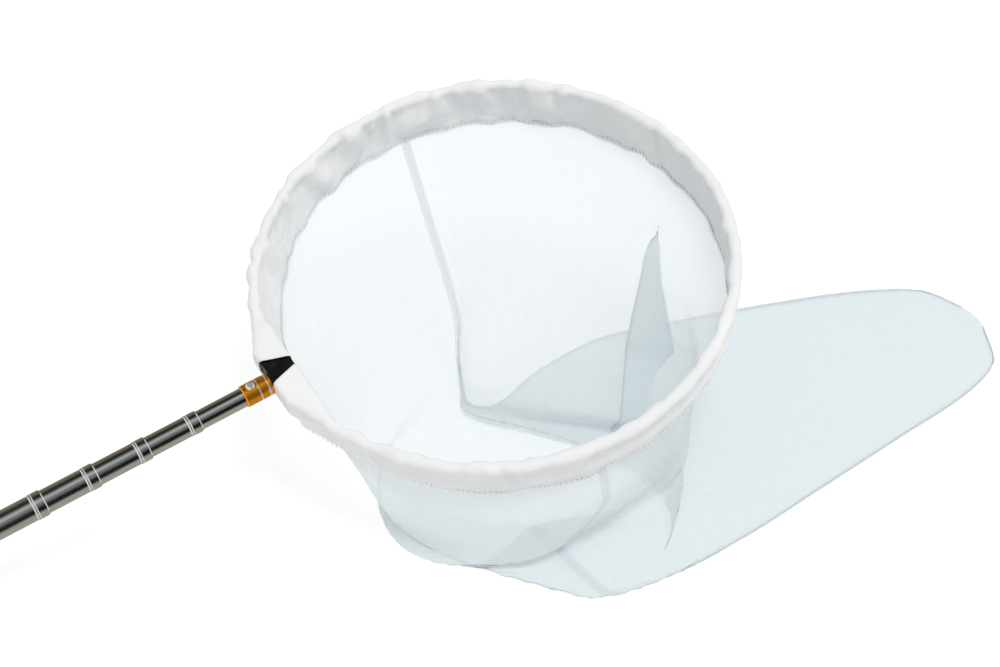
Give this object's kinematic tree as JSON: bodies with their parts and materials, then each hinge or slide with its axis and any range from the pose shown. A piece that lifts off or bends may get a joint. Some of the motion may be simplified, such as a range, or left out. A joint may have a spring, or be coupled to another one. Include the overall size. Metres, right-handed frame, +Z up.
{
  "type": "telescopic hand net",
  "caption": "Round hand net with a deep fine-mesh bag, a gathered cloth sleeve over its hoop and a telescopic metal pole with a screw-on head.",
  "frame": {"origin": "centre of the hand grip, on the pole's axis", "axes": "+X is the pole's level heading from the grip towards the hoop, +Z is up; the pole rises 9.6 degrees from +X and the head is rolled 8.2 degrees about the pole"},
  "size_m": [1.1798, 0.4549, 0.1993],
  "materials": {
    "steel": "polished stainless steel",
    "orange_anodised": "orange anodised, with bare turned grooves",
    "black_nylon": "moulded black nylon, satin",
    "foam_rubber": "matt black foam rubber",
    "white_cloth": "white woven cotton, gathered",
    "white_mesh": "fine white see-through mesh"
  },
  "bodies": {
    "handle": {"tube_5": "steel", "grip": "foam_rubber", "end_cap": "black_nylon"},
    "stage_4": {"tube_4": "steel", "slide_bush_4": "black_nylon"},
    "stage_3": {"tube_3": "steel", "slide_bush_3": "black_nylon"},
    "stage_2": {"tube_2": "steel", "slide_bush_2": "black_nylon"},
    "stage_1": {"tube_1": "steel", "slide_bush_1": "black_nylon", "collar": "orange_anodised", "collar_screw": "steel"},
    "washer": {"thread_washer": "black_nylon"},
    "head": {"hoop": "steel", "hub_body": "black_nylon", "hub_cover": "black_nylon", "hub_screw_left": "steel", "hub_screw_right": "steel", "head_stud": "steel", "sleeve": "white_cloth", "net_panel_lower": "white_mesh", "net_panel_upper": "white_mesh"}
  },
  "joints": [
    {"name": "slide_4", "type": "slide", "parent": "handle", "child": "stage_4", "axis": [0.986, 0, 0.1668], "range_m": [-0.034, 0.207]},
    {"name": "slide_3", "type": "slide", "parent": "stage_4", "child": "stage_3", "axis": [0.986, 0, 0.1668], "range_m": [-0.034, 0.201]},
    {"name": "slide_2", "type": "slide", "parent": "stage_3", "child": "stage_2", "axis": [0.986, 0, 0.1668], "range_m": [-0.034, 0.195]},
    {"name": "slide_1", "type": "slide", "parent": "stage_2", "child": "stage_1", "axis": [0.986, 0, 0.1668], "range_m": [-0.039, 0.186]},
    {"name": "thread_feed", "type": "slide", "parent": "stage_1", "child": "washer", "axis": [0.986, 0, 0.1668], "range_m": [0, 0.00505]},
    {"name": "head_turn", "type": "hinge", "parent": "washer", "child": "head", "pos_m": [0.45, 0, 0.07611], "axis": [0.986, 0, 0.1668], "range_deg": [0, 1440]}
  ],
  "couplings": [
    {"joint": "thread_feed", "follows": "head_turn", "m_per_rad": 0.00019894}
  ]
}
